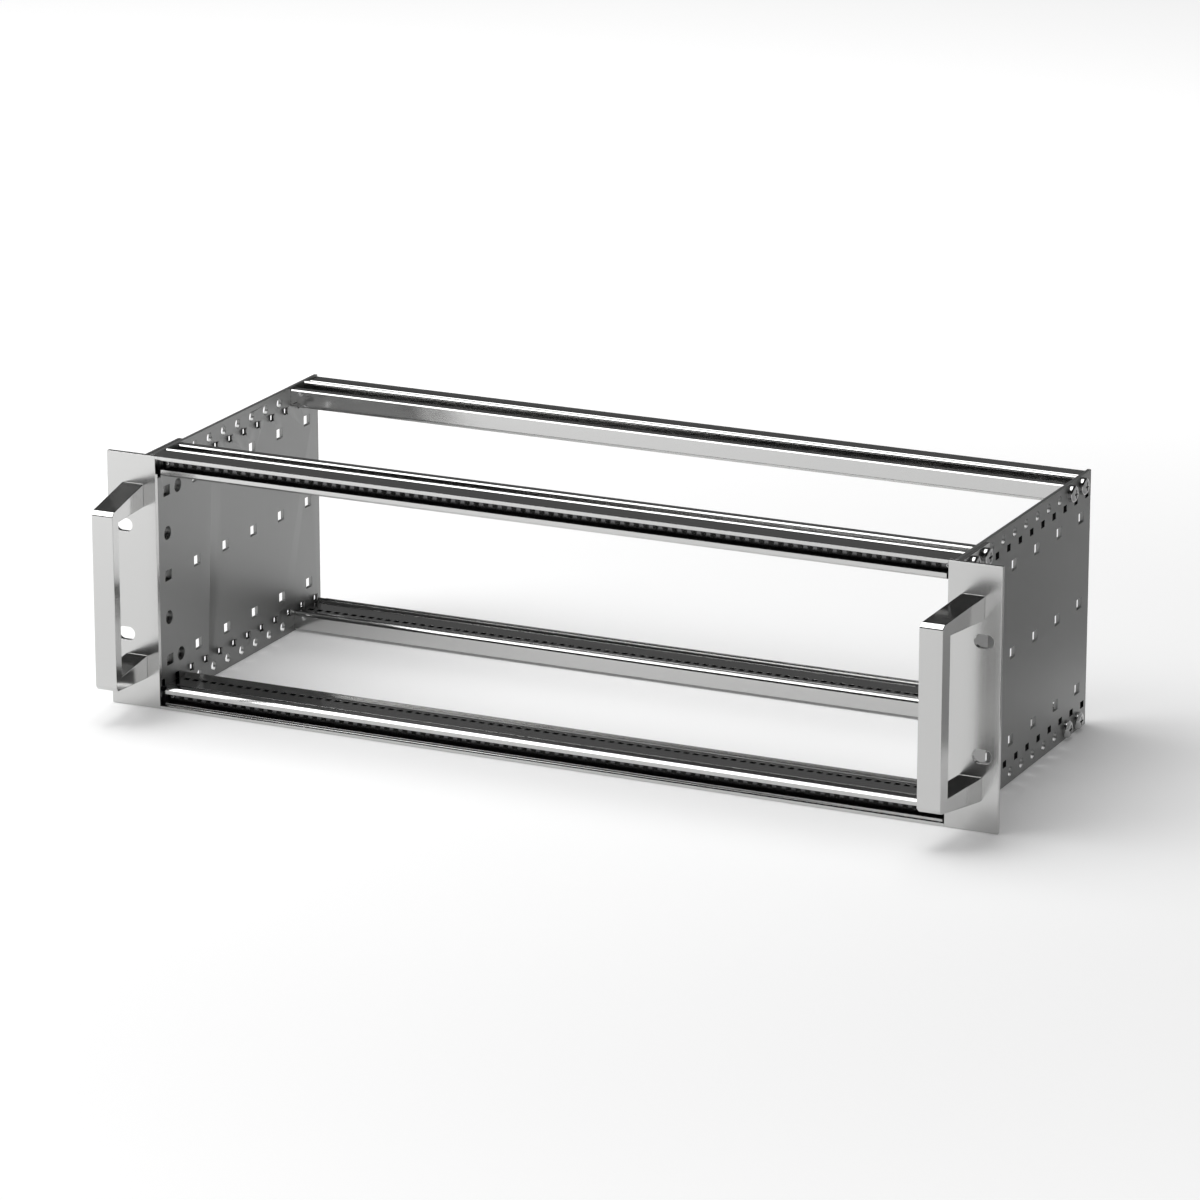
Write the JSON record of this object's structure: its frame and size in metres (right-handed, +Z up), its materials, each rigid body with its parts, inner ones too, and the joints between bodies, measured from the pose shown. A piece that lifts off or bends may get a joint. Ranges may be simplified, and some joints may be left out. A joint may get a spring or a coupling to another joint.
{
  "type": "subrack card cage",
  "caption": "Open rack-mount card cage: two perforated side plates joined by slotted cross rails, with slotted flanges and front handles, for holding plug-in circuit boards.",
  "frame": {"origin": "middle of the rack slot pattern, on the rear faces of the flanges that lie on the rack", "axes": "+X along the rails to the right seen from the front, +Y from the front to the back, +Z up"},
  "size_m": [0.4826, 0.2177, 0.1326],
  "materials": {
    "plate": "satin",
    "flange": "satin",
    "handle": "satin",
    "rail": "satin",
    "strip": "satin",
    "set_screw": "satin",
    "screw": "satin"
  },
  "bodies": {
    "root": {"front_rail_bottom": "rail", "front_rail_top": "rail", "front_screws_bottom": "screw", "front_screws_top": "screw", "handle_left": "handle", "handle_right": "handle", "handle_screws_bottom": "screw", "handle_screws_top": "screw", "rack_flange_left": "flange", "rack_flange_right": "flange", "rear_rail_bottom": "rail", "rear_rail_top": "rail", "rear_screws_bottom": "screw", "rear_screws_top": "screw", "side_plate_left": "plate", "side_plate_right": "plate", "strip_screws_bottom": "set_screw", "strip_screws_top": "set_screw", "thread_strip_bottom": "strip", "thread_strip_top": "strip"}
  },
  "joints": []
}
